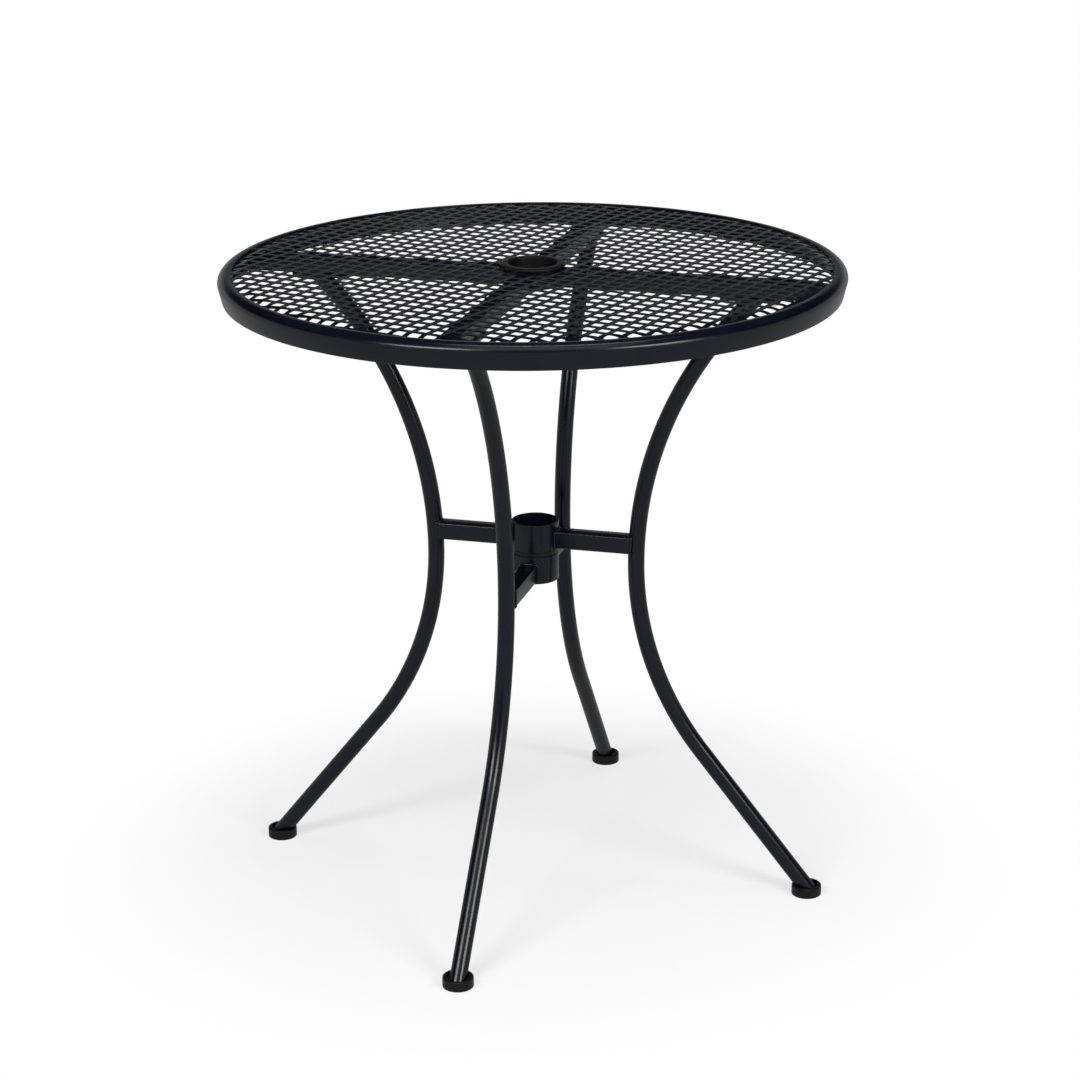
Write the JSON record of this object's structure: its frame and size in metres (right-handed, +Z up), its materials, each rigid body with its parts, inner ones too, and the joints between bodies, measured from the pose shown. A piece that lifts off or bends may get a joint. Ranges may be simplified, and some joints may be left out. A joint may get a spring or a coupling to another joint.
{
  "type": "bistro table",
  "caption": "Round steel bistro table with a square-perforated top and a parasol hole, on crossed frames of bent tube legs with plastic glides.",
  "frame": {"origin": "on the floor, under the middle of the round top", "axes": "+Z up along the parasol hole's axis, +X over the right leg, +Y over the back leg; the upper stretchers lie along X and the lower ones along Y"},
  "size_m": [0.7, 0.7, 0.7333],
  "materials": {
    "black_powder_coat": "satin black powder coat with a fine grain",
    "black_plastic": "matte moulded plastic",
    "zinc_plate": "bright zinc plate"
  },
  "bodies": {
    "root": {"top_rim": "black_powder_coat", "perforated_top": "black_powder_coat", "parasol_ring": "black_plastic", "centre_tube": "black_powder_coat", "hub_collar_upper": "black_powder_coat", "hub_spacer": "black_plastic", "hub_collar_lower": "black_powder_coat", "top_arm_right": "black_powder_coat", "mount_plate_right": "black_powder_coat", "leg_right": "black_powder_coat", "stretcher_right": "black_powder_coat", "foot_glide_right": "black_plastic", "leg_bolt_right_inner": "zinc_plate", "weld_nut_right_inner": "zinc_plate", "leg_bolt_right_outer": "zinc_plate", "weld_nut_right_outer": "zinc_plate", "top_arm_back": "black_powder_coat", "mount_plate_back": "black_powder_coat", "leg_back": "black_powder_coat", "stretcher_back": "black_powder_coat", "foot_glide_back": "black_plastic", "leg_bolt_back_inner": "zinc_plate", "weld_nut_back_inner": "zinc_plate", "leg_bolt_back_outer": "zinc_plate", "weld_nut_back_outer": "zinc_plate", "top_arm_left": "black_powder_coat", "mount_plate_left": "black_powder_coat", "leg_left": "black_powder_coat", "stretcher_left": "black_powder_coat", "foot_glide_left": "black_plastic", "leg_bolt_left_inner": "zinc_plate", "weld_nut_left_inner": "zinc_plate", "leg_bolt_left_outer": "zinc_plate", "weld_nut_left_outer": "zinc_plate", "top_arm_front": "black_powder_coat", "mount_plate_front": "black_powder_coat", "leg_front": "black_powder_coat", "stretcher_front": "black_powder_coat", "foot_glide_front": "black_plastic", "leg_bolt_front_inner": "zinc_plate", "weld_nut_front_inner": "zinc_plate", "leg_bolt_front_outer": "zinc_plate", "weld_nut_front_outer": "zinc_plate"}
  },
  "joints": []
}
